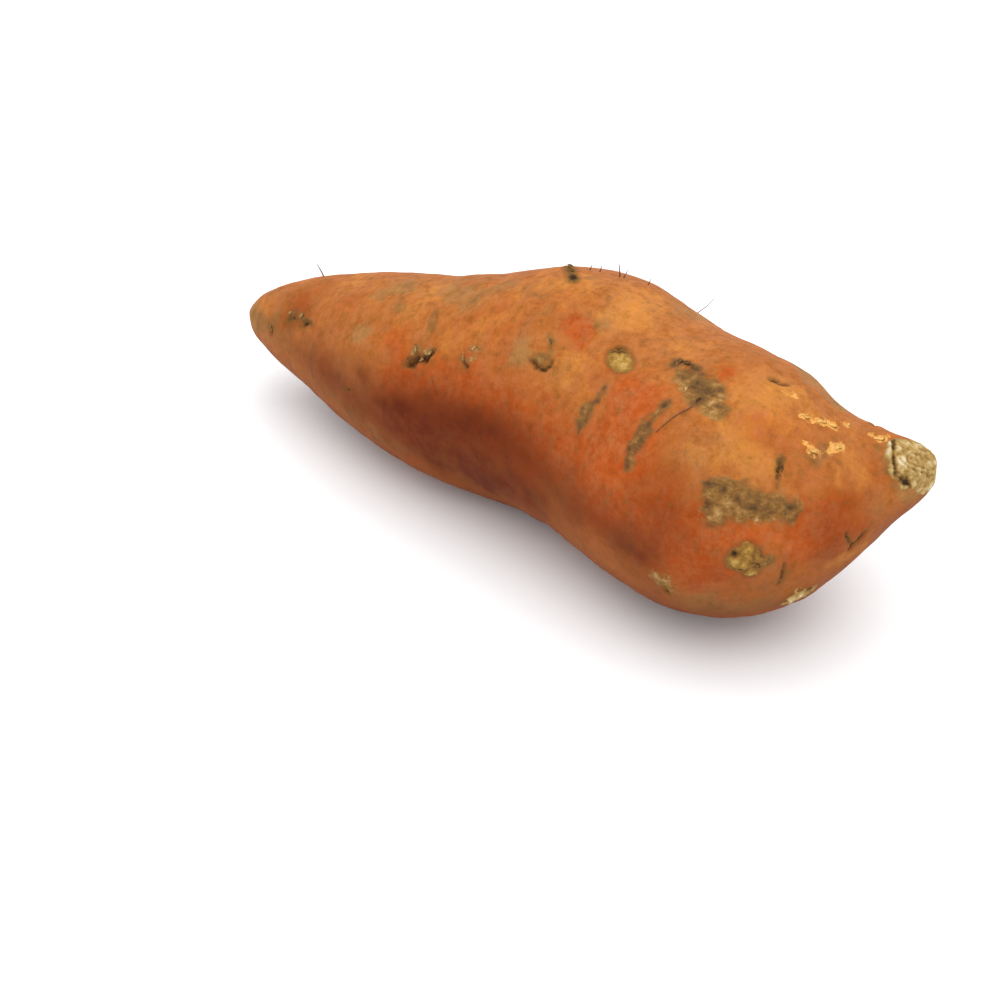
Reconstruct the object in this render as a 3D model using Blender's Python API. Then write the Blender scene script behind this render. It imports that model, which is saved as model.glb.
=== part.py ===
"""A whole sweet potato: one tapered root, lying on a small flat spot.

Metres, +Z up. +X runs along the length, towards the stem end. The origin is
under the middle of the root's box, on the surface that the root lies on.
"""

import math

import bpy
import numpy as np
from mathutils import Vector

MM = 0.001
NAME = "sweet_potato"

# Sections of the root, in millimetres, from the far tip to the stem end:
# x along the length, y across, height of the middle, and radius there.
STATIONS = (
    (-87.5, 2.0, 20.0, 3.5),
    (-76.0, 2.5, 20.5, 10.0),
    (-60.0, 2.5, 21.5, 16.0),
    (-40.0, 0.5, 23.0, 22.0),
    (-18.0, 0.5, 26.0, 26.0),
    (4.0, 2.0, 29.0, 30.0),
    (24.0, -3.0, 28.5, 29.5),
    (42.0, -9.5, 29.5, 30.0),
    (57.0, -11.0, 31.5, 27.5),
    (69.0, -8.0, 34.5, 19.5),
    (79.0, -2.5, 38.5, 10.5),
    (88.5, 2.0, 41.5, 5.0),
)

# How far the sections lean to follow the middle line: 0 keeps them upright, 1 sets them
# square to the line.
LEAN = 0.5

# How far each end's rounding reaches in from its tip, in millimetres.
FAR_ROUNDING = 5.0
STEM_ROUNDING = 6.0

# How far the lowest skin is pressed in where the root lies, which makes its flat spot.
REST_DEPTH = 1.2

# Mesh density: points round each ring, rings along the body, and rings on each rounded end.
SIDES = 52
BODY_RINGS = 72
END_RINGS = 6

# Lobes that run along the root, so that no section is a true circle:
# lobes round the section, share of the radius, turn in degrees, and twist end to end.
LOBES = (
    (2, 0.020, 20.0, 70.0),
    (3, 0.014, 75.0, -120.0),
    (5, 0.006, 10.0, 160.0),
)

# The corky scar where the stem was cut: its rim's radius and height, and its pit's
# radius and depth, in millimetres, and how far from the tip it reaches.
SCAR_RADIUS = 4.5
SCAR_RIM = 0.4
SCAR_PIT_RADIUS = 2.4
SCAR_PIT = 0.9
SCAR_REACH = 9.0

# Corky knobs and scars that stand out: place along the root, degrees from the top
# towards -Y, width across and height, in millimetres.
KNOBS = (
    (21.5, 23.0, 6.0, 0.9),
    (63.5, 84.0, 9.5, 1.5),
    (46.0, 101.0, 8.0, 0.8),
    (71.0, 122.0, 8.0, 1.2),
    (-2.0, -10.0, 4.5, 0.6),
    (32.0, -78.0, 8.0, 1.1),
    (-34.0, -118.0, 6.5, 0.8),
    (59.0, -122.0, 6.0, 0.8),
)

# Eyes, the small dents across the root where rootlets grew: place along, degrees from
# the top towards -Y, length round the root, and depth, in millimetres.
EYES = (
    (-68.5, 50.0, 5.0, 0.6),
    (-63.5, 50.0, 6.0, 0.8),
    (-27.0, 48.0, 9.0, 1.3),
    (-14.0, 48.0, 7.0, 0.7),
    (4.0, 44.0, 8.0, 0.9),
    (54.5, -11.0, 6.0, 0.7),
    (79.0, 110.0, 6.0, 0.7),
    (-55.0, -55.0, 7.0, 0.8),
    (-18.0, -82.0, 8.0, 1.0),
    (12.0, -58.0, 7.0, 0.8),
    (18.0, -128.0, 8.0, 0.9),
    (46.0, -98.0, 7.0, 0.8),
    (-44.0, 158.0, 6.0, 0.7),
    (57.0, 168.0, 7.0, 0.8),
)

# A knob's bump and an eye's dent reach this share of their width out from their middle,
# and an eye is this many times narrower along the root than round it.
KNOB_SPREAD = 0.6
EYE_SPREAD = 0.7
EYE_NARROWING = 1.7

SKIN_COLOUR = (0.47, 0.16, 0.05, 1.0)
SKIN_ROUGHNESS = 0.62


def clear_scene():
    """Remove every object that the file opened with."""
    for old in list(bpy.data.objects):
        bpy.data.objects.remove(old, do_unlink=True)


def spline_slopes(places, values):
    """Slopes of the natural cubic spline through values at the given places."""
    count = len(places)
    gap = np.diff(places)
    rise = np.diff(values, axis=0) / gap[:, None]
    system = np.zeros((count, count))
    right = np.zeros_like(values)
    for i in range(1, count - 1):
        system[i, i - 1] = 1 / gap[i - 1]
        system[i, i] = 2 / gap[i - 1] + 2 / gap[i]
        system[i, i + 1] = 1 / gap[i]
        right[i] = 3 * (rise[i - 1] / gap[i - 1] + rise[i] / gap[i])
    system[0, 0:2] = (2, 1)
    system[-1, -2:] = (1, 2)
    right[0] = 3 * rise[0]
    right[-1] = 3 * rise[-1]
    return np.linalg.solve(system, right)


def spline_point(places, values, slopes, at):
    """The spline's value and slope at one place."""
    i = int(np.clip(np.searchsorted(places, at) - 1, 0, len(places) - 2))
    gap = places[i + 1] - places[i]
    w = (at - places[i]) / gap
    before, after = values[i], values[i + 1]
    leaving, arriving = slopes[i] * gap, slopes[i + 1] * gap
    value = (
        before * (1 + 2 * w) * (1 - w) ** 2
        + leaving * w * (1 - w) ** 2
        + after * w * w * (3 - 2 * w)
        + arriving * w * w * (w - 1)
    )
    slope = (
        (after - before) * 6 * w * (1 - w)
        + leaving * (1 - w) * (1 - 3 * w)
        + arriving * w * (3 * w - 2)
    ) / gap
    return value, slope


def ring_places():
    """Where the rings stand along x: close together on the rounded ends, even between."""
    first, last = STATIONS[0][0], STATIONS[-1][0]
    turns = np.linspace(0, math.pi / 2, END_RINGS + 1)[1:]
    start = first + FAR_ROUNDING * (1 - np.cos(turns))
    stop = last - STEM_ROUNDING * (1 - np.cos(turns))
    between = np.linspace(start[-1], stop[-1], BODY_RINGS)[1:-1]
    return np.concatenate((start, between, stop[::-1]))


def end_rounding(at):
    """Share of the full radius left where an end rounds off."""
    from_far = min((at - STATIONS[0][0]) / FAR_ROUNDING, 1.0)
    from_stem = min((STATIONS[-1][0] - at) / STEM_ROUNDING, 1.0)
    return math.sqrt(1 - (1 - from_far) ** 2) * math.sqrt(1 - (1 - from_stem) ** 2)


def rings():
    """Each ring's centre, radius and direction along the root, and the two tips."""
    values = np.array(STATIONS)
    places = values[:, 0]
    slopes = spline_slopes(places, values)
    found = []
    for at in ring_places():
        point, slope = spline_point(places, values, slopes, at)
        along = Vector((slope[0], LEAN * slope[1], LEAN * slope[2])).normalized()
        found.append((Vector(point[:3]), float(point[3]) * end_rounding(at), along))
    return found, (Vector(STATIONS[0][:3]), Vector(STATIONS[-1][:3]))


def lobe_factor(share, angle):
    """How far the lobes raise the skin at a share of the length and an angle."""
    total = 1.0
    for count, size, turn, twist in LOBES:
        total += size * math.cos(count * (angle - math.radians(turn + twist * share)))
    return total


def smooth_bump(distance):
    """1 at the middle of a bump, falling smoothly to 0 at a distance of 1."""
    if distance >= 1:
        return 0.0
    return (1 - distance * distance) ** 2


def apart(point, radius, angle, place, degrees):
    """How far a skin point lies from a feature: along the root, and round it."""
    return point.x - place, radius * math.remainder(angle - math.radians(degrees), math.tau)


def relief(point, radius, angle):
    """Height of the knobs and eyes above the plain skin, in millimetres."""
    height = 0.0
    for place, degrees, across, rise in KNOBS:
        length, width = apart(point, radius, angle, place, degrees)
        height += rise * smooth_bump(math.hypot(length, width) / (across * KNOB_SPREAD))
    for place, degrees, wide, depth in EYES:
        length, width = apart(point, radius, angle, place, degrees)
        height -= depth * smooth_bump(math.hypot(length * EYE_NARROWING, width) / (wide * EYE_SPREAD))
    return height


def skin_rows():
    """Points of the skin, ring by ring, in millimetres, with the two tips."""
    found, tips = rings()
    length = tips[1].x - tips[0].x
    rows = []
    for centre, radius, along in found:
        side = along.cross(Vector((0, 0, 1))).normalized()
        upward = side.cross(along)
        share = (centre.x - tips[0].x) / length
        row = []
        for k in range(SIDES):
            angle = math.tau * k / SIDES
            out = upward * math.cos(angle) + side * math.sin(angle)
            skin = centre + out * radius * lobe_factor(share, angle)
            row.append(skin + out * relief(skin, radius, angle))
        rows.append(row)
    return rows, tips


def scar_relief(point, end, along):
    """The stem scar: a raised rim round the end and a pit in its middle."""
    offset = point - end
    if offset.length > SCAR_REACH:
        return Vector()
    away = (offset - along * offset.dot(along)).length
    rim = SCAR_RIM * smooth_bump(abs(away - SCAR_RADIUS) / SCAR_RADIUS)
    pit = SCAR_PIT * smooth_bump(away / SCAR_PIT_RADIUS)
    return along * (rim - pit)


def placed_points():
    """Every point from tip to tip, in metres, with the scar, flat spot and origin in place."""
    rows, tips = skin_rows()
    points = [tips[0]] + [point for row in rows for point in row] + [tips[1]]
    end = Vector(tips[1])
    along = (end - Vector(STATIONS[-2][:3])).normalized()
    for point in points:
        point += scar_relief(point, end, along)
    low = min(point.z for point in points) + REST_DEPTH
    for point in points:
        point.z = max(point.z - low, 0.0)
    xs = [point.x for point in points]
    ys = [point.y for point in points]
    middle = Vector(((min(xs) + max(xs)) / 2, (min(ys) + max(ys)) / 2, 0.0))
    return [(point - middle) * MM for point in points]


def loft_faces(count):
    """Quads between neighbouring rings, and a fan of triangles at each tip."""
    faces = []
    last = count - 1
    end = last - SIDES
    for k in range(SIDES):
        after = (k + 1) % SIDES
        faces.append((0, 1 + after, 1 + k))
        for start in range(1, end, SIDES):
            faces.append((start + k, start + after, start + SIDES + after, start + SIDES + k))
        faces.append((last, end + k, end + after))
    return faces


def build_mesh():
    """The closed skin, lofted through its rings."""
    vertices = placed_points()
    mesh = bpy.data.meshes.new(NAME)
    mesh.from_pydata([tuple(v) for v in vertices], [], loft_faces(len(vertices)))
    mesh.validate()
    mesh.shade_smooth()
    return mesh


def skin_material():
    """Dry, dull, coppery orange-brown skin."""
    material = bpy.data.materials.new("skin")
    material.use_nodes = True
    shader = material.node_tree.nodes["Principled BSDF"]
    shader.inputs["Base Color"].default_value = SKIN_COLOUR
    shader.inputs["Roughness"].default_value = SKIN_ROUGHNESS
    shader.inputs["Metallic"].default_value = 0.0
    return material


def main():
    clear_scene()
    collection = bpy.data.collections.new(NAME)
    bpy.context.scene.collection.children.link(collection)
    root = bpy.data.objects.new(NAME, build_mesh())
    root.data.materials.append(skin_material())
    collection.objects.link(root)


main()
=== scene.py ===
"""A whole sweet potato with its rough skin, corky scars and rootlets, on a plain pale floor.

Metres, +Z up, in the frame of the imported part: +X runs along the root to its stem end.
Lengths in the tables below are in millimetres.
"""

import math

import bmesh
import bpy
import numpy as np
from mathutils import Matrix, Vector
from mathutils.bvhtree import BVHTree


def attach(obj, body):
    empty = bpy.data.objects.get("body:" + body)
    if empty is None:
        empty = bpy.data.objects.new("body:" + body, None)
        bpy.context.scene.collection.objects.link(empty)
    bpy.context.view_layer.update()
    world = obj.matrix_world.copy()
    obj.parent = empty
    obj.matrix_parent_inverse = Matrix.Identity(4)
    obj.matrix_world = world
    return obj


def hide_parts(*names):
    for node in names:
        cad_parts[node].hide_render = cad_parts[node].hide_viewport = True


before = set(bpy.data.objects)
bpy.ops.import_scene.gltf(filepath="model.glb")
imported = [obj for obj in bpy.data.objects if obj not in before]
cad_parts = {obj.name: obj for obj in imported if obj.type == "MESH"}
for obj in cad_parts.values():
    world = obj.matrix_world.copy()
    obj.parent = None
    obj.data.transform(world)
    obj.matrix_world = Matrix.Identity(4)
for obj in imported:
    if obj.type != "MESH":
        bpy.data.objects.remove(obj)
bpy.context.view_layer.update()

MM = 0.001
NODE = "sweet_potato"

# The camera, worked out from the root's outline in the photo.
PHOTO_SIZE = 1000
LENS = 85.0
SENSOR = 36.0
CAMERA_AIM = (-11.4, -4.6, -0.7)
CAMERA_DISTANCE = 550.0
CAMERA_TURN = 30.0
CAMERA_RISE = 40.0

# The light over the root: its place, aim and size in metres, and its power. Then the sky's.
KEY_PLACE = (0.05, 0.05, 1.2)
KEY_AIM = (0.0, 0.0, 0.02)
KEY_SIZE = 2.0
KEY_WATTS = 17.2
SKY_STRENGTH = 0.85

# Mesh sizes: the skin's cells, and how many times a crust and the stem scar halve them.
SKIN_CELL = 0.53
CRUST_LEVELS = 1
STEM_LEVELS = 2

# How far past its line a crust's patch and the stem scar's patch reach, how deep their
# undersides go, and how far they stay off the floor.
CRUST_REACH = 1.9
STEM_REACH = 1.8
CRUST_ROOT = 2.5
FLOOR_GAP = 0.05

# Millimetres over which a stored distance runs from 0 to 1, with 0.5 at the mark's edge.
MARK_SPAN = 3
SCURF_SPAN = 4

# The tone of a crust where it runs out into the skin, and on its underside.
EDGE_TONE = 0.40
UNDER_TONE = 0.2

# Smooth noise: how many random slopes it draws on, how a cell picks one, and its strength.
SLOPES = 4096
CELL_MARKS = (73856093, 19349663, 83492791)
NOISE_GAIN = 1.6
OCTAVE_SHIFT = 31.7

# Noise that bends outlines and raises scurf: wave size, octaves and seed.
MARK_WAVES = (1.2, 3, 51)
SCURF_WAVES = (1.7, 2, 71)
FLANK_WAVES = (9.0, 3, 91)

# Seeds of the noise of the soft zones, the scurf's edges and tones, and the stem scar.
ZONE_SEED = 81
SCURF_SEED = 600
SCURF_TONE_SEED = 650
STEM_SEED = 301

# The skin's own unevenness: wave size, height, octaves, stretch round the root, and seed.
SKIN_WAVES = (
    (19.0, 0.45, 2, 1.0, 10),
    (7.0, 0.2, 2, 1.4, 17),
    (2.4, 0.045, 2, 1.4, 24),
    (1.2, 0.02, 2, 1.4, 31),
)

# Lines on the side that the camera sees are given by photo pixels: x, y and half width in
# millimetres. Lines on the other sides are given by the place along the root, the degrees
# round it from the top towards the camera's side, and the half width. A first number as
# large as this one is a pixel.
PIXELS_FROM = 100
SLITS = (
    ((769, 379, 0.2), (776, 380, 0.6), (782, 384, 0.5), (788, 385, 0.2)),
    ((866, 531, 0.3), (858, 541, 0.7), (850, 549, 0.5)),
    ((846, 533, 0.2), (849, 541, 0.35), (853, 546, 0.3)),
    ((785, 564, 0.15), (783, 573, 0.35), (779, 585, 0.2)),
    ((781, 462, 0.2), (779, 469, 0.45), (777, 478, 0.2)),
    ((288, 321, 0.1), (292, 318, 0.25), (296, 318, 0.1)),
    ((301, 327, 0.15), (306, 324, 0.4), (311, 323, 0.15)),
    ((272, 334, 0.1), (273, 330, 0.2)),
    ((405, 366, 0.3), (412, 364, 1), (418, 357, 0.7), (425, 360, 0.8), (430, 354, 0.5), (435, 350, 0.2)),
    ((463, 362, 0.15), (466, 367, 0.35)),
    ((531, 361, 0.25), (535, 365, 0.45), (542, 370, 0.3), (549, 367, 0.5), (552, 361, 0.2)),
    ((611, 352, 0.3), (617, 349, 0.7), (626, 350, 0.3)),
    ((663, 587, 0.3), (668, 594, 0.5)),
    ((347, 388, 0.3), (349, 390, 0.4)),
    ((568, 269, 0.4), (571, 274, 0.4)),
    ((-55, -58, 0.2), (-55.3, -52, 0.5), (-54.8, -44, 0.2)),
    ((-18.2, -92, 0.2), (-17.6, -84, 0.7), (-18.4, -72, 0.2)),
    ((12.2, -65, 0.2), (12, -58, 0.6), (11.4, -50, 0.2)),
    ((18.4, -136, 0.2), (18, -128, 0.6), (18.6, -120, 0.2)),
    ((46.5, -105, 0.2), (46, -98, 0.6), (45.2, -91, 0.2)),
    ((-44.3, 151, 0.2), (-44, 158, 0.6), (-44.4, 164, 0.2)),
    ((57, 161, 0.2), (57.2, 168, 0.6), (56.6, 175, 0.2)),
    ((72, -62, 0.2), (72.4, -50, 0.5), (72, -40, 0.2)),
    ((-70, -120, 0.2), (-70.4, -105, 0.4), (-70, -92, 0.2)),
)
# A slit's depth, where its wall starts and ends, its lip's height, and the lip's place and reach.
SLIT_DEPTH = 0.6
SLIT_WALL = (-0.5, 0.7)
SLIT_LIP = 0.14
SLIT_LIP_PLACE = (0.9, 0.6)

# Skin rubbed away down to pale yellow.
RUBS = (
    ((801, 414, 0.5), (809, 418, 0.7), (820, 421, 0.9), (829, 423, 0.9), (835, 425, 1.1)),
    ((846, 423, 0.7), (849, 425, 0.6)),
    ((806, 443, 0.5), (811, 449, 0.8), (818, 452, 0.9), (815, 455, 0.4)),
    ((829, 452, 0.5), (835, 447, 1.1), (841, 446, 1)),
    ((872, 434, 0.8), (879, 437, 1.3), (886, 436, 0.9)),
    ((783, 391, 0.3), (790, 393, 0.6), (797, 398, 0.5)),
    ((30, -60, 0.5), (34, -57, 0.9), (39, -58, 0.4)),
    ((31, -52, 0.6), (33, -50, 0.4)),
    ((-8, -40, 0.4), (-3, -38, 0.6), (0, -39, 0.3)),
    ((66, -88, 0.4), (70, -84, 0.9), (73, -86, 0.4)),
    ((-62, -80, 0.3), (-57, -76, 0.6), (-54, -77, 0.3)),
    ((2, 140, 0.4), (7, 143, 0.7), (10, 142, 0.4)),
)
RUB_DEPTH = 0.18
RUB_WALL = (-0.2, 0.25)
RUB_LIP = 0.08
RUB_LIP_PLACE = (0.5, 0.35)

# Soft zones of colour: their place, given as above, then their reach and strength.
ZONES = {
    "red": (
        (573, 324, 2.6, 1), (585, 335, 3, 1.1), (592, 325, 1.8, 0.8), (620, 400, 6, 0.8),
        (655, 392, 5, 0.6), (612, 440, 5, 0.7), (640, 455, 6, 0.5), (728, 371, 2.2, 1),
        (640, 467, 1.3, 1.9), (600, 480, 9, 0.9), (650, 520, 8, 0.9), (690, 535, 8, 0.7),
        (700, 570, 7, 0.8), (735, 535, 6, 0.5), (800, 535, 7, 0.7), (830, 530, 7, 0.65),
        (315, 292, 4, 0.35), (345, 305, 5, 0.3), (395, 340, 3, 0.35), (520, 300, 7, 0.25),
        (500, 340, 5, 0.35), (465, 390, 8, 0.6), (395, 390, 7, 0.8), (440, 400, 8, 0.8), (500, 415, 9, 0.9),
        (548, 445, 9, 0.9), (770, 430, 6, 0.35), (855, 490, 7, 0.35), (517, 412, 1.4, 0.9),
        (625, 388, 6, 0.35), (302, 298, 4, 0.3), (-50, -100, 12, 0.6), (-10, -120, 14, 0.6),
        (35, -110, 13, 0.5), (62, -150, 9, 0.6), (10, 170, 14, 0.5), (-30, 160, 11, 0.5), (70, -90, 6, 0.5),
        (22, -86, 5, 0.8), (-30, -60, 6, 0.6), (-62, -45, 6, 0.5), (48, -60, 7, 0.6), (5, -45, 6, 0.5),
        (-20, -105, 8, 0.6), (25, -135, 8, 0.6), (60, -100, 5, 0.7),
    ),
    # Painted shade, partly over darker skin: the near flank, the lower edges by the floor, the underside
    # and far side, and the tip.
    "shade": (
        (379, 404, 2.4, 0.25), (400, 408, 3, 0.2), (398, 402, 8, 0.14), (428, 408, 8, 0.2),
        (455, 411, 8, 0.2), (482, 417, 8, 0.2), (512, 428, 8, 0.2), (542, 444, 8, 0.1), (290, 322, 4, 0.3),
        (288, 342, 5, 0.34), (352, 412, 4.5, 0.25), (665, 505, 9, 0.36), (705, 560, 8, 0.2),
        (325, 368, 4, 0.14), (365, 372, 2.2, 0.4), (392, 446, 3, 0.2), (440, 470, 4, 0.2),
        (485, 486, 4, 0.26), (535, 508, 4, 0.12), (835, 535, 8, 0.45), (860, 485, 8, 0.15),
        (650, 530, 9, 0.3), (270, 333, 2.5, 0.3), (264, 322, 4, 0.16), (300, 302, 6, 0.34),
        (-40, -130, 12, 0.5), (0, -140, 14, 0.5), (45, -140, 12, 0.5), (0, 170, 14, 0.4),
        (40, 160, 12, 0.4), (-60, 170, 8, 0.4), (-18, -95, 6, 0.3), (-28, -122, 11, 0.3),
        (15, -120, 11, 0.28), (58, -112, 7, 0.25), (-55, -128, 7, 0.25), (-74, -70, 5, 0.2),
    ),
    "tan": (
        (251, 316, 4, 1.4), (266, 330, 4.5, 0.6), (363, 334, 2.8, 1.2), (403, 286, 3.8, 1.2),
        (378, 296, 2.6, 0.8), (466, 301, 5, 0.6), (504, 285, 5, 0.5), (421, 341, 3.2, 0.5),
        (521, 353, 3, 1.2), (544, 300, 5, 0.3), (697, 314, 7, 0.7), (742, 337, 6, 0.9),
        (777, 354, 4.5, 0.9), (808, 376, 4, 0.9), (834, 401, 3.5, 0.9), (285, 336, 4.5, 0.5),
        (690, 605, 6, 0.7), (720, 609, 5, 1), (760, 606, 5, 0.9), (470, 481, 4, 0.4), (505, 491, 4, 0.4),
        (540, 507, 4, 0.4), (350, 415, 2.8, 1), (335, 395, 2.6, 0.7), (375, 434, 3, 0.9),
        (400, 449, 3, 0.8), (440, 468, 3.5, 0.4), (700, 455, 4, 0.4), (605, 325, 2, 0.6),
        (445, 289, 5, 0.7), (910, 495, 2.4, 1.6), (922, 491, 2.4, 1.6), (932, 484, 2.2, 1.2),
        (-66, -60, 6, 0.7), (-26, -75, 4, 1), (6, -100, 5, 0.8), (50, -80, 6, 0.7), (-50, 150, 6, 0.6),
        (20, 150, 6, 0.8), (68, 170, 6, 0.8), (40, -50, 5, 0.5), (-8, -70, 4, 0.5), (-48, -72, 4, 0.9),
        (27, -56, 3, 0.9), (64, -40, 4, 0.7), (-4, -118, 4, 0.8), (35, -140, 5, 0.8), (12, -92, 3, 0.9),
    ),
    "gold": (
        (447, 347, 3, 1.1), (415, 312, 5, 0.5), (540, 285, 6, 0.8), (360, 284, 6, 0.4), (430, 288, 5, 0.5),
        (580, 283, 5, 0.7), (640, 300, 8, 1), (615, 320, 5, 0.7), (550, 385, 4, 0.8), (570, 365, 3, 0.7),
        (680, 345, 6, 0.6), (760, 400, 7, 0.9), (740, 440, 6, 0.9), (755, 470, 4, 0.7), (800, 400, 6, 0.6),
        (690, 460, 4, 0.6), (480, 330, 5, 0.6), (510, 314, 5, 0.4), (270, 300, 4, 0.4), (850, 470, 5, 0.5),
        (832, 562, 2, 1.3), (845, 558, 2, 1.4), (862, 549, 2.4, 1.1), (-35, -45, 7, 0.7), (16, -70, 8, 0.8),
        (58, -50, 7, 0.7), (-58, -30, 6, 0.5), (30, -95, 6, 0.6), (-12, -55, 6, 0.6), (0, -62, 5, 0.9),
        (-45, -95, 5, 0.8), (44, -78, 4, 0.9), (66, -68, 4, 0.8),
    ),
    "olive": (
        (406, 286, 2.6, 1), (379, 298, 2, 0.8), (400, 309, 2, 1.3), (433, 321, 1.3, 1.8),
        (430, 330, 1.1, 1.2), (436, 313, 1.2, 0.9), (306, 323, 2.4, 0.8), (291, 318, 2, 0.8),
        (271, 325, 2.6, 1), (258, 322, 2.6, 1.1), (266, 312, 2.4, 0.6), (282, 308, 2.4, 0.5),
        (253, 312, 2.2, 0.8), (592, 279, 1.8, 0.8), (603, 279, 1.4, 0.4), (541, 357, 2.4, 0.8),
        (525, 352, 2, 0.3), (474, 300, 2, 0.5), (415, 350, 2.2, 0.6), (351, 418, 2, 0.5),
        (372, 436, 2, 0.6), (384, 325, 1.6, 0.4), (503, 283, 2.8, 0.8), (486, 292, 2.6, 0.6),
        (786, 574, 3.4, 0.8), (769, 588, 2.6, 0.5), (820, 600, 2.6, 0.7), (712, 610, 3, 0.7),
        (658, 560, 2, 0.3), (662, 582, 3.2, 0.8), (786, 484, 2.2, 0.7), (824, 446, 1.4, 0.9),
        (809, 455, 1.2, 1), (826, 455, 1.2, 0.9), (818, 461, 1.3, 0.7), (870, 428, 2.4, 0.4),
        # The four olive zones on the next line, beside the left side of the stem scar's rim, are a painted
        # shadow line.
        (879, 447, 1.3, 1.1), (884, 459, 1.2, 1), (888, 472, 1.2, 1), (893, 486, 1.4, 1),
        (916, 494, 2.4, 0.5), (803, 370, 3, 0.8), (837, 403, 2.6, 0.8), (660, 352, 1.6, 0.3),
        (676, 361, 1.6, 1), (-55, -52, 2.4, 0.8), (-18, -82, 2.6, 0.8), (12, -58, 2.4, 0.7),
        (18, -128, 2.6, 0.8), (46, -98, 2.6, 0.8), (-44, 158, 2.4, 0.8), (57, 168, 2.4, 0.8),
        (-74, -80, 4, 0.7), (-76, 150, 4, 0.7), (33, -78, 4.6, 0.7), (-34, -118, 4, 0.7),
        (72, -52, 2.4, 0.6), (-30, -48, 2.2, 0.8), (24, -100, 2.2, 0.9), (54, -92, 1.8, 0.9),
        (-60, -98, 2.2, 0.9), (5, -112, 2, 0.9), (-10, -97, 1.6, 0.9), (-50, -38, 1.6, 1),
        (36, -42, 1.8, 0.9),
    ),
}
# Painted shade: a dark band along the root's near flank, where the skin is also a deeper red: x, y and half
# width in millimetres.
FLANK = (
    (310, 358, 0.5), (350, 388, 2.5), (395, 416, 5.5), (440, 436, 7.5), (490, 456, 8), (540, 480, 4.9),
    (590, 514, 1.8), (640, 556, 0.8),
)
# How strongly painted shade darkens the flank band and the skin that faces down, and where each starts and
# ends.
PAINTED_FLANK_SHADE = 0.74
FLANK_EDGE = (-10.0, 3.0)
PAINTED_UNDER_SHADE = 0.75
UNDER_EDGE = (-0.25, 0.75)

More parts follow.
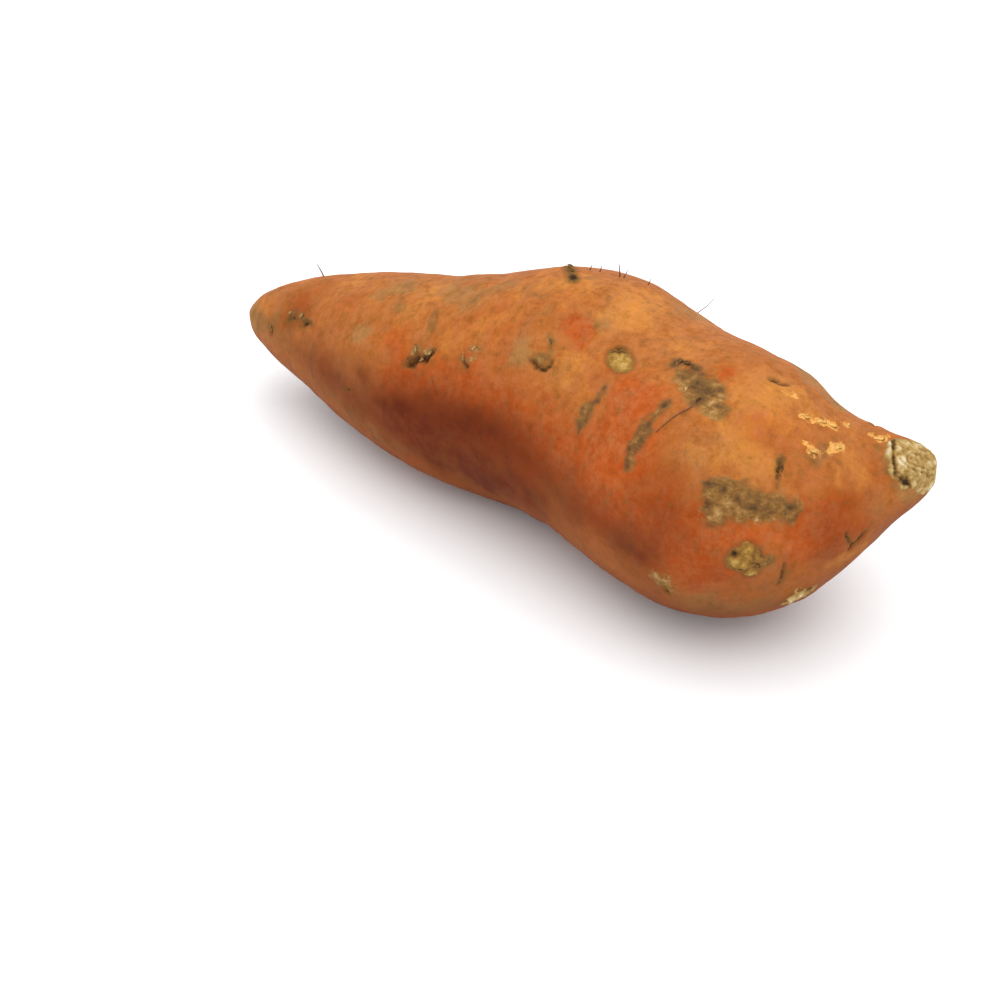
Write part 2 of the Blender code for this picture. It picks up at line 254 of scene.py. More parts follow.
# Patches of scurf, rough flat stains in the skin: how ragged their edge is, their tone from
# dark to pale, their relief, their line as above, and the dark and the pale spots in them.
SCURF = (
    (0.9, 0.38, 0.05, ((607, 384, 0.3), (598, 399, 0.8), (586, 412, 1.8), (580, 426, 1.5), (578, 433, 0.8)),
     ((604, 389, 0.7), (598, 401, 0.7), (580, 433, 0.8)), ((586, 411, 1.2), (582, 420, 0.8))),
    (1.0, 0.42, 0.06, ((666, 403, 0.7), (654, 417, 1.1), (643, 431, 1.7), (635, 446, 1.8), (627, 465, 0.9)),
     ((664, 405, 0.8), (634, 430, 1.1), (649, 424, 0.7), (627, 450, 0.9), (640, 440, 0.6), (627, 466, 0.8)),
     ((637, 441, 1.2), (656, 412, 0.6), (631, 457, 0.7))),
    (1.2, 0.56, 0.1, ((676, 369, 1.3), (691, 381, 3.1), (706, 393, 4), (718, 411, 2.2)),
     ((676, 367, 1.2), (690, 370, 1.5), (703, 375, 1.4), (700, 386, 2.2), (708, 391, 1.5), (695, 404, 1.2),
      (702, 399, 1.3), (716, 381, 0.9), (722, 390, 0.8), (719, 408, 0.7), (684, 377, 0.9)),
     ((683, 388, 1.3), (690, 394, 0.9), (712, 402, 1.1), (714, 386, 0.8), (706, 381, 0.6), (694, 378, 0.7),
      (722, 402, 0.9), (713, 416, 1.4), (679, 380, 0.8), (720, 396, 0.7))),
    (1.0, 0.51, 0.07, ((716, 513, 3), (716, 492, 3.1), (738, 502, 4.1), (764, 507, 3), (792, 512, 2.4)),
     ((709, 484, 1.2), (724, 490, 1.1), (706, 505, 0.9), (752, 507, 1.2), (790, 507, 1), (738, 500, 0.8),
      (770, 513, 0.8), (731, 521, 0.8), (797, 517, 0.8)),
     ((712, 492, 1), (727, 505, 1.3), (717, 514, 1.2), (741, 513, 1), (757, 519, 0.9), (729, 512, 0.8),
      (775, 519, 0.7), (709, 519, 0.9))),
    (0.9, 0.42, 0.08, ((300, 317, 0.7), (307, 322, 1), (313, 325, 0.6)),
     ((306, 324, 1),), ((301, 315, 0.7), (311, 319, 0.6))),
    (0.8, 0.42, 0.08, ((288, 322, 0.6), (292, 317, 0.8), (295, 312, 0.4)),
     ((291, 320, 0.9),), ((292, 313, 0.7),)),
    (0.9, 0.6, 0.12, ((413, 358, 0.7), (418, 351, 1), (426, 354, 0.9), (433, 350, 0.6)),
     ((412, 364, 1.1), (419, 357, 0.9), (426, 360, 0.8)), ((416, 349, 0.9), (426, 352, 0.8))),
    (0.5, 0.62, 0.1, ((468, 350, 0.4), (474, 347, 0.6), (480, 350, 0.4)),
     ((465, 352, 0.4),), ((475, 348, 0.6),)),
    (0.5, 0.58, 0.1, ((462, 355, 0.4), (465, 361, 0.3), (471, 359, 0.5), (477, 356, 0.3)),
     ((466, 368, 0.6),), ((471, 358, 0.5),)),
    (0.4, 0.22, 0.03, ((465, 364, 0.4), (467, 369, 0.5)),
     ((467, 368, 0.6),), ()),
    (1.0, 0.2, 0.1, ((672, 366, 0.5), (679, 361, 0.9), (691, 365, 0.9), (701, 372, 0.6), (711, 377, 0.5)),
     ((677, 363, 1.2), (690, 366, 1)), ((684, 360, 0.6), (697, 366, 0.5))),
    (1.1, 0.42, 0.05, ((757, 552, 1), (766, 561, 1.5), (758, 569, 0.6)),
     ((762, 553, 0.8),), ((764, 563, 0.8),)),
    (0.8, 0.46, 0.08, ((535, 360, 1.1), (543, 362, 1.4), (549, 357, 0.9), (551, 345, 0.6), (551, 333, 0.3)),
     ((534, 363, 0.8), (542, 369, 0.9), (550, 364, 0.8)), ((541, 360, 1), (537, 357, 0.6))),
    (0.8, 0.34, 0.06, ((783, 456, 0.4), (780, 467, 1.1), (778, 476, 0.5), (777, 488, 0.2)),
     ((781, 463, 1), (778, 474, 0.7)), ((785, 470, 0.6),)),
    (1.0, 0.66, 0.1, ((655, 577, 1.2), (662, 582, 1.9), (668, 588, 1.2)),
     ((665, 591, 0.9), (654, 585, 0.6)), ((658, 578, 1), (666, 581, 0.8))),
    (1.0, 0.5, 0.08, ((-2, -92, 0.8), (-1, -84, 2.2), (1.5, -76, 2.6), (3, -68, 1)),
     ((0, -82, 1.4), (2.5, -74, 1)), ((0.5, -78, 1.5),)),
    (1.0, 0.48, 0.08, ((52, -70, 1.6), (58, -66, 2.8), (64, -67, 1.6)),
     ((56, -64, 1.4), (61, -68, 1.2)), ((59, -67, 1.5), (53, -70, 1))),
    (1.0, 0.5, 0.06, ((-47, -88, 1), (-41, -84, 2), (-36, -86, 0.9)),
     ((-42, -86, 1),), ((-40, -84, 1.2),)),
    (1.0, 0.48, 0.06, ((-22, 158, 1.2), (-17, 163, 2.4), (-10, 161, 1.2)),
     ((-18, 161, 1.2),), ((-14, 162, 1.2),)),
    (1.0, 0.52, 0.06, ((36, 128, 0.8), (37, 140, 1.8), (38.5, 150, 1)),
     ((37, 138, 1),), ((37.5, 144, 1),)),
    (0.9, 0.5, 0.06, ((-60, -140, 0.8), (-58, -128, 1.5), (-57, -118, 0.7)),
     ((-58.5, -130, 0.9),), ((-57.5, -124, 0.9),)),
)

# Crusts of cork that stand on the skin: the seed of their noise, their lines as above, their
# height, the size and height of their lumps, how ragged their edge is, their tone, and dark
# pits and pale spots.
CRUSTS = {
    "cork_knob_upper": dict(
        seed=400, line=((618, 357, 2.2), (622, 362, 2.2)),
        rise=0.5, lump=1.6, lumps=0.2, ragged=0.8, tone=0.52,
        darks=((613, 352, 1), (619, 351, 1.2), (626, 351, 1), (634, 357, 0.9)),
        pales=((618, 361, 1.5), (623, 366, 1.2), (629, 360, 0.9)),
    ),
    "cork_knob_lower": dict(
        seed=401,
        line=(
            (749, 551, 1.5), (741, 555, 1.7), (733, 561, 1.4), (744, 563, 2.1), (754, 561, 1.4),
            (751, 571, 1.5),
        ),
        rise=0.42, lump=1.7, lumps=0.5, ragged=1.0, tone=0.41,
        darks=((759, 566, 0.7), (741, 569, 0.6), (735, 554, 0.6)),
        pales=((750, 549, 1), (734, 562, 1.1), (752, 572, 1.2), (745, 564, 0.9), (748, 556, 0.6)),
    ),
    "cork_nub": dict(
        seed=402, line=((570, 269, 1), (571, 274, 0.7), (573, 281, 0.8)),
        rise=1.0, lump=1.1, lumps=0.25, ragged=0.5, tone=0.26,
        darks=((573, 280, 1.1), (572, 274, 0.7)), pales=((569, 270, 0.6),),
    ),
    "cork_edge": dict(
        seed=403, line=((787, 601, 1.2), (798, 596, 2.3), (809, 591, 1.4)),
        rise=0.24, lump=1.2, lumps=0.34, ragged=1.5, tone=0.6,
        darks=((806, 597, 1.5), (787, 604, 0.8), (798, 602, 1), (791, 594, 0.5), (809, 589, 0.9)),
        pales=((792, 598, 1.2), (800, 594, 0.9)),
    ),
    "cork_knob_back": dict(
        seed=500, line=((31, -76, 2.2), (33, -79, 2.7)),
        rise=0.5, lump=1.7, lumps=0.25, ragged=0.9, tone=0.56,
        darks=((30, -78, 1), (34, -75, 0.8)), pales=((33, -80, 1.4),),
    ),
    "cork_knob_far": dict(
        seed=501, line=((-35, -117, 1.8), (-33, -119, 2)),
        rise=0.45, lump=1.5, lumps=0.25, ragged=0.8, tone=0.58,
        darks=((-35, -114, 0.9),), pales=((-33, -119, 1.2),),
    ),
    "cork_under": dict(
        seed=502, line=((58, -120, 1.5), (60, -124, 1.7)),
        rise=0.4, lump=1.4, lumps=0.2, ragged=0.8, tone=0.55,
        darks=((60, -119, 0.8),), pales=((58.5, -123, 1.1),),
    ),
}

# Small curled flakes of dry skin and bark: the pixel of their middle, the turn of their
# length in the photo in degrees, length, width, how far one end lifts, and their tone.
FLAKES = (
    (416, 350, 65, 2.2, 0.9, 0.7, 0.62),
    (428, 353, 25, 2.4, 0.9, 0.6, 0.7),
    (421, 359, -10, 1.3, 0.6, 0.5, 0.66),
    (408, 360, 60, 1.5, 0.7, 0.5, 0.45),
    (474, 348, 20, 1.9, 0.6, 0.3, 0.74),
    (463, 358, 70, 1.4, 0.5, 0.3, 0.66),
    (302, 316, 40, 1.7, 0.7, 0.3, 0.68),
    (291, 313, 10, 1.4, 0.6, 0.25, 0.7),
    (272, 328, 70, 1.4, 0.5, 0.25, 0.6),
    (822, 421, -12, 2.2, 0.8, 0.2, 0.92),
    (833, 425, -30, 1.8, 0.9, 0.25, 0.96),
    (814, 451, -40, 1.8, 0.8, 0.2, 0.86),
    (838, 447, 20, 1.9, 1, 0.2, 0.92),
    (806, 416, -40, 1.5, 0.6, 0.2, 0.86),
    (880, 437, -5, 2.4, 1, 0.25, 0.98),
    (848, 424, 50, 1.2, 0.6, 0.2, 0.88),
    (678, 363, 30, 2.2, 1.1, 0.35, 0.4),
    (687, 363, -40, 1.9, 0.9, 0.35, 0.34),
    (686, 389, 60, 1.5, 0.7, 0.25, 0.72),
    (698, 401, 45, 1.4, 0.5, 0.25, 0.24),
    (545, 371, 10, 1.4, 0.5, 0.4, 0.3),
    (551, 343, 95, 1.8, 0.4, 0.3, 0.45),
    (782, 468, 80, 1.6, 0.6, 0.4, 0.3),
)
# A flake's rows of points along and across it, and the pixels that give its direction.
FLAKE_ROWS = 7
FLAKE_ACROSS = 5
FLAKE_STEP = 3

# The scar at the stem end: pixels inside its near and far edge, its radius, the ridges round
# it, the pixels of its pale curved rim, and the pit and pale fleck in it.
STEM_MIDDLE = (912, 459)
STEM_END = (926, 466)
STEM_RADIUS = 6.0
STEM_RIDGES = 2.6
STEM_RIM = (
    (888, 441, 0.5), (886, 453, 0.5), (887, 467, 0.6), (891, 480, 0.7), (898, 489, 0.8), (905, 490, 0.4),
)
STEM_PIT = (906, 481, 0.9)
STEM_FLECK = (901, 463, 1.2)

# Rootlets and hairs: pixels of their two ends, whether they stand free of the skin, how far
# they bow sideways, and their thickness at the foot.
ROOTLETS = (
    ((697, 405), (655, 431), False, 0.4, 0.4),
    ((324, 277), (317, 263), True, 0.25, 0.4),
    ((700, 309), (716, 297), True, 0.4, 0.3),
    ((590, 270), (592, 265), True, 0, 0.36),
    ((600, 271), (602, 266), True, 0, 0.34),
    ((620, 276), (619, 264), True, 0.15, 0.42),
    ((624, 277), (628, 270), True, 0.1, 0.32),
    ((648, 285), (651, 279), True, 0, 0.32),
)
# Points along a rootlet, how far one lies off the skin, how deep its foot is, and how much
# thinner its tip is.
ROOTLET_POINTS = 9
ROOTLET_FLOAT = 0.1
ROOTLET_FOOT = 0.4
ROOTLET_TAPER = 0.6


def lattice_noise(points, seed):
    """Smooth noise at each point, about -1 to 1, from random slopes on a unit lattice."""
    slopes = np.random.default_rng(seed).normal(size=(SLOPES, 3))
    slopes /= np.linalg.norm(slopes, axis=1)[:, None]
    cell = np.floor(points).astype(np.int64)
    part = points - cell
    fade = part ** 3 * (part * (part * 6 - 15) + 10)
    total = np.zeros(len(points))
    for corner in np.ndindex(2, 2, 2):
        place = cell + corner
        mark = np.bitwise_xor.reduce(place * CELL_MARKS, axis=1)
        slope = slopes[mark % SLOPES]
        weight = np.prod(np.where(np.array(corner) == 1, fade, 1 - fade), axis=1)
        total += weight * np.einsum("ij,ij->i", slope, part - corner)
    return total * NOISE_GAIN


def waves(points, size, octaves, seed):
    """Noise of a given wave size in millimetres, with finer and weaker octaves on top."""
    total = np.zeros(len(points))
    for k in range(octaves):
        total += lattice_noise(points / size * 2 ** k + OCTAVE_SHIFT * k, seed + k) * 0.5 ** k
    return total


def smooth(value, low, high):
    """0 below low, 1 above high, and a smooth step between."""
    share = np.clip((value - low) / (high - low), 0, 1)
    return share * share * (3 - 2 * share)


def hump(gap, middle, reach):
    """1 where a distance is at the hump's middle, and close to 0 past its reach."""
    return np.exp(-(((gap - middle) / reach) ** 2))


def linked(name, data):
    """A new object of the scene."""
    obj = bpy.data.objects.new(name, data)
    bpy.context.scene.collection.objects.link(obj)
    return obj


def make_camera():
    """The camera at the photo's viewing angle."""
    turn, rise = math.radians(CAMERA_TURN), math.radians(CAMERA_RISE)
    back = Vector((math.sin(turn) * math.cos(rise), -math.cos(turn) * math.cos(rise), math.sin(rise)))
    data = bpy.data.cameras.new("camera")
    data.lens = LENS
    data.sensor_width = SENSOR
    camera = linked("camera", data)
    camera.location = (Vector(CAMERA_AIM) + back * CAMERA_DISTANCE) * MM
    camera.rotation_euler = back.to_track_quat("Z", "Y").to_euler()
    bpy.context.scene.camera = camera
    bpy.context.view_layer.update()
    return camera


def new_object(name, vertices, faces):
    """A linked object from points in millimetres."""
    mesh = bpy.data.meshes.new(name)
    mesh.from_pydata((np.asarray(vertices) * MM).tolist(), [], [tuple(f) for f in faces])
    mesh.validate()
    mesh.shade_smooth()
    return linked(name, mesh)


def settled_mesh(obj):
    """Swap an object's mesh for the one its modifiers make."""
    depsgraph = bpy.context.evaluated_depsgraph_get()
    mesh = bpy.data.meshes.new_from_object(obj.evaluated_get(depsgraph))
    obj.modifiers.clear()
    obj.data = mesh
    mesh.name = obj.name
    mesh.shade_smooth()


def vectors(mesh, kind):
    """One vector for each of the mesh's points."""
    flat = np.empty(len(mesh.vertices) * 3)
    mesh.vertices.foreach_get(kind, flat)
    return flat.reshape(-1, 3)


def coordinates(mesh):
    """The mesh's points in millimetres."""
    return vectors(mesh, "co") / MM


def corners(mesh):
    """The points of each of the mesh's faces."""
    return [tuple(p.vertices) for p in mesh.polygons]


def surface(mesh):
    """A search tree of the mesh, in millimetres."""
    return BVHTree.FromPolygons(coordinates(mesh).tolist(), corners(mesh))


def store(mesh, name, values):
    """Keep a number at each point for the material."""
    layer = mesh.attributes.new(name, "FLOAT", "POINT")
    layer.data.foreach_set("value", np.clip(values, 0, 1).astype(np.float32))


def welded_copy(node):
    """The node's mesh as points and quads, with doubled points joined."""
    form = bmesh.new()
    form.from_mesh(node.data)
    bmesh.ops.remove_doubles(form, verts=form.verts, dist=1e-6)
    bmesh.ops.join_triangles(form, faces=form.faces, angle_face_threshold=0.7, angle_shape_threshold=1.2)
    mesh = bpy.data.meshes.new("sweet_potato_skin")
    form.to_mesh(mesh)
    form.free()
    return mesh


class Finder:
    """Finds places on the smooth skin, by photo pixel or by place along and round the root."""

    def __init__(self, mesh, camera):
        self.tree = surface(mesh)
        self.eye = np.array(camera.location) / MM
        self.turn = camera.matrix_world.to_quaternion()
        self.middles = self.middle_line(coordinates(mesh))

    @staticmethod
    def middle_line(points, steps=40):
        """Middle of the root at even steps along x."""
        edges = np.linspace(points[:, 0].min(), points[:, 0].max(), steps + 1)
        rows = []
        for low, high in zip(edges, edges[1:]):
            inside = points[(points[:, 0] >= low) & (points[:, 0] <= high)]
            rows.append(((low + high) / 2, *(inside.min(0) + inside.max(0))[1:] / 2))
        return np.array(rows)

    def ray(self, px, py):
        """Direction from the camera through a photo pixel."""
        span = SENSOR / LENS
        ray = Vector(((px / PHOTO_SIZE - 0.5) * span, (0.5 - py / PHOTO_SIZE) * span, -1))
        return np.array((self.turn @ ray).normalized())

    def seen(self, px, py, tries=6):
        """Skin point under a photo pixel, or the closest one where the pixel is off the root."""
        ray = self.ray(px, py)
        hit = self.tree.ray_cast(Vector(self.eye), Vector(ray))[0]
        if hit is None:
            closest = self.eye + ray * CAMERA_DISTANCE
            for _ in range(tries):
                near = np.array(self.tree.find_nearest(Vector(closest))[0])
                closest = self.eye + ray * np.dot(near - self.eye, ray)
            hit = near
        return np.array(hit)

    def beside(self, point, px, py):
        """Point under another pixel, as far from the camera as the given point."""
        return self.eye + self.ray(px, py) * np.linalg.norm(point - self.eye)

    def around(self, along, degrees, outside=60):
        """Skin point at a place along the root and degrees round it, sought from outside."""
        middle = [along] + [np.interp(along, self.middles[:, 0], self.middles[:, k]) for k in (1, 2)]
        angle = math.radians(degrees)
        out = Vector((0, -math.sin(angle), math.cos(angle)))
        hit = self.tree.ray_cast(Vector(middle) + out * outside, -out)[0]
        return np.array(hit)

    def place(self, a, b):
        """Skin point at a mark's first two numbers, of either kind."""
        return self.seen(a, b) if a >= PIXELS_FROM else self.around(a, b)

    def line(self, marks):
        """Points and half widths of a line of marks."""
        return [(self.place(a, b), width) for a, b, width in marks]


def line_distance(points, line):
    """How far each point lies outside a line's edge, in millimetres; below 0 is inside."""
    best = np.full(len(points), 1000.0)
    for (start, wide), (end, wide_end) in zip(line, line[1:]):
        run = end - start
        share = np.clip((points - start) @ run / max(run @ run, 1e-9), 0, 1)
        gap = np.linalg.norm(points - start - share[:, None] * run, axis=1)
        best = np.minimum(best, gap - wide - (wide_end - wide) * share)
    return best


def nearest_line(points, lines):
    """The distance to the closest of several lines."""
    return np.min([line_distance(points, line) for line in lines], axis=0)


def zones(points, finder, name, share=0.55, most=2.4):
    """Strength of the soft zones of one colour at each point.

    Noise bends their outlines by a share of their reach, up to the most in millimetres.
    """
    total = np.zeros(len(points))
    drift = np.stack([waves(points, 5.0, 3, ZONE_SEED + 5 * k) for k in range(3)], axis=1)
    for a, b, reach, strength in ZONES[name]:
        bend = min(share * reach, most)
        gap = np.linalg.norm(points + bend * drift - finder.place(a, b), axis=1)
        total += strength * hump(gap, 0, reach)
    return total


def spots(points, finder, marks):
    """Strength of small round spots at each point."""
    total = np.zeros(len(points))
    for place, reach in finder.line(marks):
        gap = np.linalg.norm(points - place, axis=1)
        total = np.maximum(total, hump(gap, 0, reach))
    return total


def scurf_fields(points, finder, margin=4.0):
    """How far inside the scurf each point lies, its tone there, and its height."""
    inside = np.full(len(points), -100.0)
    tone = np.full(len(points), 0.5)
    height = np.zeros(len(points))
    lumps = np.abs(waves(points, *SCURF_WAVES))
    for seed, (ragged, ground, relief, line, dark_marks, pale_marks) in enumerate(SCURF):
        gap = line_distance(points, finder.line(line))
        near = gap < margin
        close = points[near]
        depth = ragged * waves(close, 2.8, 3, SCURF_SEED + seed) - gap[near]
        darks = spots(close, finder, dark_marks)
        pales = spots(close, finder, pale_marks)
        mottle = waves(close, 1.6, 3, SCURF_TONE_SEED + seed)
        shades = ground - 0.38 * darks + 0.3 * pales + 0.2 * mottle
        body = smooth(depth, -0.6, 0.8)
        deeper = depth > inside[near]
        inside[near] = np.maximum(inside[near], depth)
        tone[near] = np.where(deeper, shades, tone[near])
        height[near] += body * relief * (0.5 + 3.0 * lumps[near] - 1.2 * darks + 0.8 * pales)
    return inside, tone, height


def make_skin(node, camera):
    """The whole skin as one fine closed mesh with its grain, slits and colour zones, painted shade among
    them.
    """
    skin = linked("sweet_potato_skin", welded_copy(node))
    rounded = skin.modifiers.new("rounded", "SUBSURF")
    rounded.levels = rounded.render_levels = 2
    cells = skin.modifiers.new("cells", "REMESH")
    cells.mode = "VOXEL"
    cells.voxel_size = SKIN_CELL * MM
    settled_mesh(skin)
    mesh = skin.data
    finder = Finder(mesh, camera)
    points, out = coordinates(mesh), vectors(mesh, "normal")

    slits, rubs = ([finder.line(marks) for marks in table] for table in (SLITS, RUBS))
    crusts = [finder.line(spec["line"]) for spec in CRUSTS.values()]

    height = np.zeros(len(points))
    for size, tall, octaves, stretch, seed in SKIN_WAVES:
        height += tall * waves(points / (1, stretch, stretch), size, octaves, seed)
    ragged = waves(points, *MARK_WAVES)
    slit_gap = nearest_line(points, slits) + 0.35 * ragged
    rub_gap = nearest_line(points, rubs) + 0.8 * ragged
    crust_gap = nearest_line(points, crusts)
    scurf, scurf_tone, scurf_height = scurf_fields(points, finder)
    height += scurf_height
    height -= SLIT_DEPTH * smooth(-slit_gap, *SLIT_WALL)
    height += SLIT_LIP * hump(slit_gap, *SLIT_LIP_PLACE)
    height -= RUB_DEPTH * smooth(-rub_gap, *RUB_WALL)
    height += RUB_LIP * hump(rub_gap, *RUB_LIP_PLACE)

    moved = points + out * height[:, None]
    moved[:, 2] = np.maximum(moved[:, 2], 0.0)
    mesh.vertices.foreach_set("co", (moved * MM).ravel())
    mesh.update()

    store(mesh, "slit", 0.5 - slit_gap / MARK_SPAN)
    store(mesh, "rub", 0.5 - rub_gap / MARK_SPAN)
    store(mesh, "near_crust", smooth(-crust_gap, -2.0, -0.2))
    store(mesh, "scurf", 0.5 + scurf / SCURF_SPAN)
    store(mesh, "scurf_tone", scurf_tone)
    # Painted shade: the flank band and the skin that faces down are stored, with the shade zones, as shade.
    flank = line_distance(points, finder.line(FLANK)) + 1.6 * waves(points, *FLANK_WAVES)
    shade = PAINTED_FLANK_SHADE * smooth(-flank, *FLANK_EDGE) + PAINTED_UNDER_SHADE * smooth(-out[:, 2], *UNDER_EDGE)
    for name in ZONES:
        field = zones(points, finder, name) + (shade if name == "shade" else 0)
        store(mesh, name, field / 2)
    return skin, finder


def open_edges(faces):
    """The edges that belong to one face only, in the order of its points."""
    edges = dict.fromkeys((a, b) for face in faces for a, b in zip(face, face[1:] + face[:1]))
    return [edge for edge in edges if edge[::-1] not in edges]


def fine_patch(name, skin, gap, reach, levels):
    """A finer copy of the part of the skin whose gap is below reach."""
    faces = np.array(corners(skin.data))
    kept = faces[(gap[faces] < reach).all(axis=1)]
    used, places = np.unique(kept, return_inverse=True)
    patch = new_object(name, coordinates(skin.data)[used], places.reshape(kept.shape))
    finer = patch.modifiers.new("finer", "SUBSURF")
    finer.levels = finer.render_levels = levels
    settled_mesh(patch)
    return patch


def finish_crust(name, patch, height, tone):
    """Raise a crust off the skin, close it with a fan to a point sunk under it, and keep its tone."""
    out, faces = vectors(patch.data, "normal"), corners(patch.data)
    raised = coordinates(patch.data) + out * height[:, None]
    inward = out.mean(0) / np.linalg.norm(out.mean(0)) * CRUST_ROOT
    closed = np.vstack((raised, raised.mean(0) - inward))
    closed[:, 2] = np.maximum(closed[:, 2], FLOOR_GAP)
    fan = [(b, a, len(raised)) for a, b in open_edges(faces)]
    bpy.data.objects.remove(patch, do_unlink=True)
    crust = new_object(name, closed, faces + fan)
    store(crust.data, "tone", np.append(tone, UNDER_TONE))
    return crust


def make_crust(name, spec, skin, finder):
    """One crust of cork with a ragged edge, lumps, cracks, dark pits and pale spots."""
    seed = spec["seed"]
    line = finder.line(spec["line"])
    gap = line_distance(coordinates(skin.data), line)
    patch = fine_patch(name, skin, gap, CRUST_REACH, CRUST_LEVELS)
    points = coordinates(patch.data)
    inside = waves(points, 2.6, 4, seed) * spec["ragged"] - line_distance(points, line)
    body = smooth(inside, -0.9, 1.0)
    lumps = np.abs(waves(points, spec["lump"] * 1.6, 2, seed + 20))
    grit = waves(points, 0.8, 2, seed + 40)
    cracks = smooth(np.abs(waves(points, 1.9, 2, seed + 60)), 0.0, 0.14)
    darks = spots(points, finder, spec["darks"])
    pales = spots(points, finder, spec["pales"])
    tall = spec["rise"] + spec["lumps"] * (lumps * 1.5 - 0.25) + 0.07 * grit
    tall = tall * (0.7 + 0.3 * cracks) * (1 - 0.8 * darks) + 0.1 * pales
    height = body * tall - 0.15 * (1 - body)
    tone = spec["tone"] + 0.26 * (lumps - 0.3) + 0.14 * grit - 0.1 * (1 - cracks)
    tone += 0.1 * waves(points, 3.0, 2, seed + 80) - 0.42 * darks + 0.28 * pales
    tone = EDGE_TONE + (tone - EDGE_TONE) * smooth(inside, -0.6, 0.4)
    return finish_crust(name, patch, height, tone)


def make_stem_scar(skin, finder):
    """The corky scar that caps the stem end, rough and ridged, with a curved rim and a pit."""
    cap = [(finder.seen(*place), STEM_RADIUS) for place in (STEM_MIDDLE, STEM_END)]
    rim_line = finder.line(STEM_RIM)
    skin_gap = line_distance(coordinates(skin.data), cap)
    patch = fine_patch("stem_scar", skin, skin_gap, STEM_REACH, STEM_LEVELS)
    points = coordinates(patch.data)
    gap = line_distance(points, cap)
    inside = 0.8 * waves(points, 3.4, 4, STEM_SEED) - gap
    body = smooth(inside, -0.5, 0.9)
    rim_gap = line_distance(points, rim_line) + 0.35 * waves(points, 2.0, 2, STEM_SEED + 4)
    rim = smooth(-rim_gap, -0.5, 0.3)
    groove = hump(rim_gap, 0.8, 0.45)
    warp = 7.0 * waves(points, 4.6, 3, STEM_SEED + 10)
    ridges = 0.5 + 0.5 * np.cos(math.tau * STEM_RIDGES * (-gap) / STEM_RADIUS + warp)
    grit = waves(points, 0.8, 3, STEM_SEED + 20)
    lumps = np.abs(waves(points, 2.6, 3, STEM_SEED + 30))
    pit = spots(points, finder, (STEM_PIT,))
    fleck = spots(points, finder, (STEM_FLECK,))
    near = smooth(-np.linalg.norm(points - cap[0][0], axis=1), -8.5, -4.5)
    rough = 0.35 + 0.65 * near
    tall = 0.26 + rough * (0.2 * ridges * (0.4 + lumps) + 0.26 * lumps + 0.09 * grit)
    tall = (tall + 0.42 * rim - 0.18 * groove * near + 0.22 * fleck) * (1 - 0.75 * pit)
    height = body * tall - 0.2 * (1 - body)
    tone = 0.6 + 0.17 * (ridges - 0.5) + 0.18 * rim + 0.15 * grit + 0.4 * (lumps - 0.25)
    # The groove beside the rim dips a little; its darker tone is painted shade.
    tone += 0.42 * fleck - 0.66 * pit - 0.42 * groove * near + 0.1 * (1 - near)
    tone = EDGE_TONE + (tone - EDGE_TONE) * smooth(inside, -0.4, 0.7)
    return finish_crust("stem_scar", patch, height, tone)


def make_flakes(skin, finder):
    """Small curled flakes of dry skin and bark, thin closed shells that lift at one end."""
    tree = surface(skin.data)
    vertices, faces, tones = [], [], []
    for number, (px, py, turn, long, wide, lift, tone) in enumerate(FLAKES):
        middle = finder.seen(px, py)
        ahead = (math.cos(math.radians(turn)), -math.sin(math.radians(turn)))
        along = finder.seen(px + FLAKE_STEP * ahead[0], py + FLAKE_STEP * ahead[1]) - middle
        along /= np.linalg.norm(along)
        out = np.array(tree.find_nearest(Vector(middle))[1])
        side = np.cross(out, along)
        side /= np.linalg.norm(side)
        sheet = []
        for u in np.linspace(0, 1, FLAKE_ROWS):
            narrow = math.sin(math.pi * (0.12 + 0.76 * u)) ** 0.7
            sway = 0.12 * wide * math.sin(5.0 * u + number)
            for v in np.linspace(-0.5, 0.5, FLAKE_ACROSS):
                ragged = 1 + 0.25 * math.sin(9.0 * u + 5.0 * v + 1.7 * number)
                flat = middle + along * long * (u - 0.5) + side * (wide * v * narrow * ragged + sway)
                near, normal, _, _ = tree.find_nearest(Vector(flat))
                rise = lift * u ** 2 + 0.25 * wide * (2 * v) ** 2 * u - 0.05
                sheet.append(np.array(near) + np.array(normal) * rise)
        sheet = np.array(sheet)
        thick = 0.09 + 0.05 * np.sin(np.arange(len(sheet)) * 1.3)
        base, count = len(vertices), len(sheet)
        vertices += list(sheet + out * thick[:, None]) + list(sheet - out * thick[:, None])
        tones += list(tone + 0.12 * np.sin(np.arange(count) * 0.9 + number)) + [tone * 0.6] * count
        rows, columns = range(FLAKE_ROWS - 1), range(FLAKE_ACROSS - 1)
        starts = [base + i * FLAKE_ACROSS + j for i in rows for j in columns]
        top = [(a + FLAKE_ACROSS, a + FLAKE_ACROSS + 1, a + 1, a) for a in starts]
        faces += top + [tuple(k + count for k in face[::-1]) for face in top]
        faces += [(b, a, a + count, b + count) for a, b in open_edges(top)]
    flakes = new_object("bark_flakes", vertices, faces)
    store(flakes.data, "tone", np.array(tones))
    return flakes


def tube(path, radii, sides=6):
    """Points and faces of a closed tube along a path."""
    vertices, faces = [], []
    for point, radius, ahead in zip(path, radii, np.gradient(np.array(path), axis=0)):
        ahead /= np.linalg.norm(ahead)
        side = np.cross(ahead, (0.31, 0.17, 0.93))
        side /= np.linalg.norm(side)
        up = np.cross(side, ahead)
        for j in range(sides):
            angle = math.tau * j / sides
            vertices.append(point + radius * (math.cos(angle) * side + math.sin(angle) * up))
    for k in range(len(path) - 1):
        for j in range(sides):
            a, b = k * sides + j, k * sides + (j + 1) % sides
            faces.append((a, b, b + sides, a + sides))
    faces.append(tuple(range(sides))[::-1])
    faces.append(tuple(range((len(path) - 1) * sides, len(path) * sides)))
    return vertices, faces


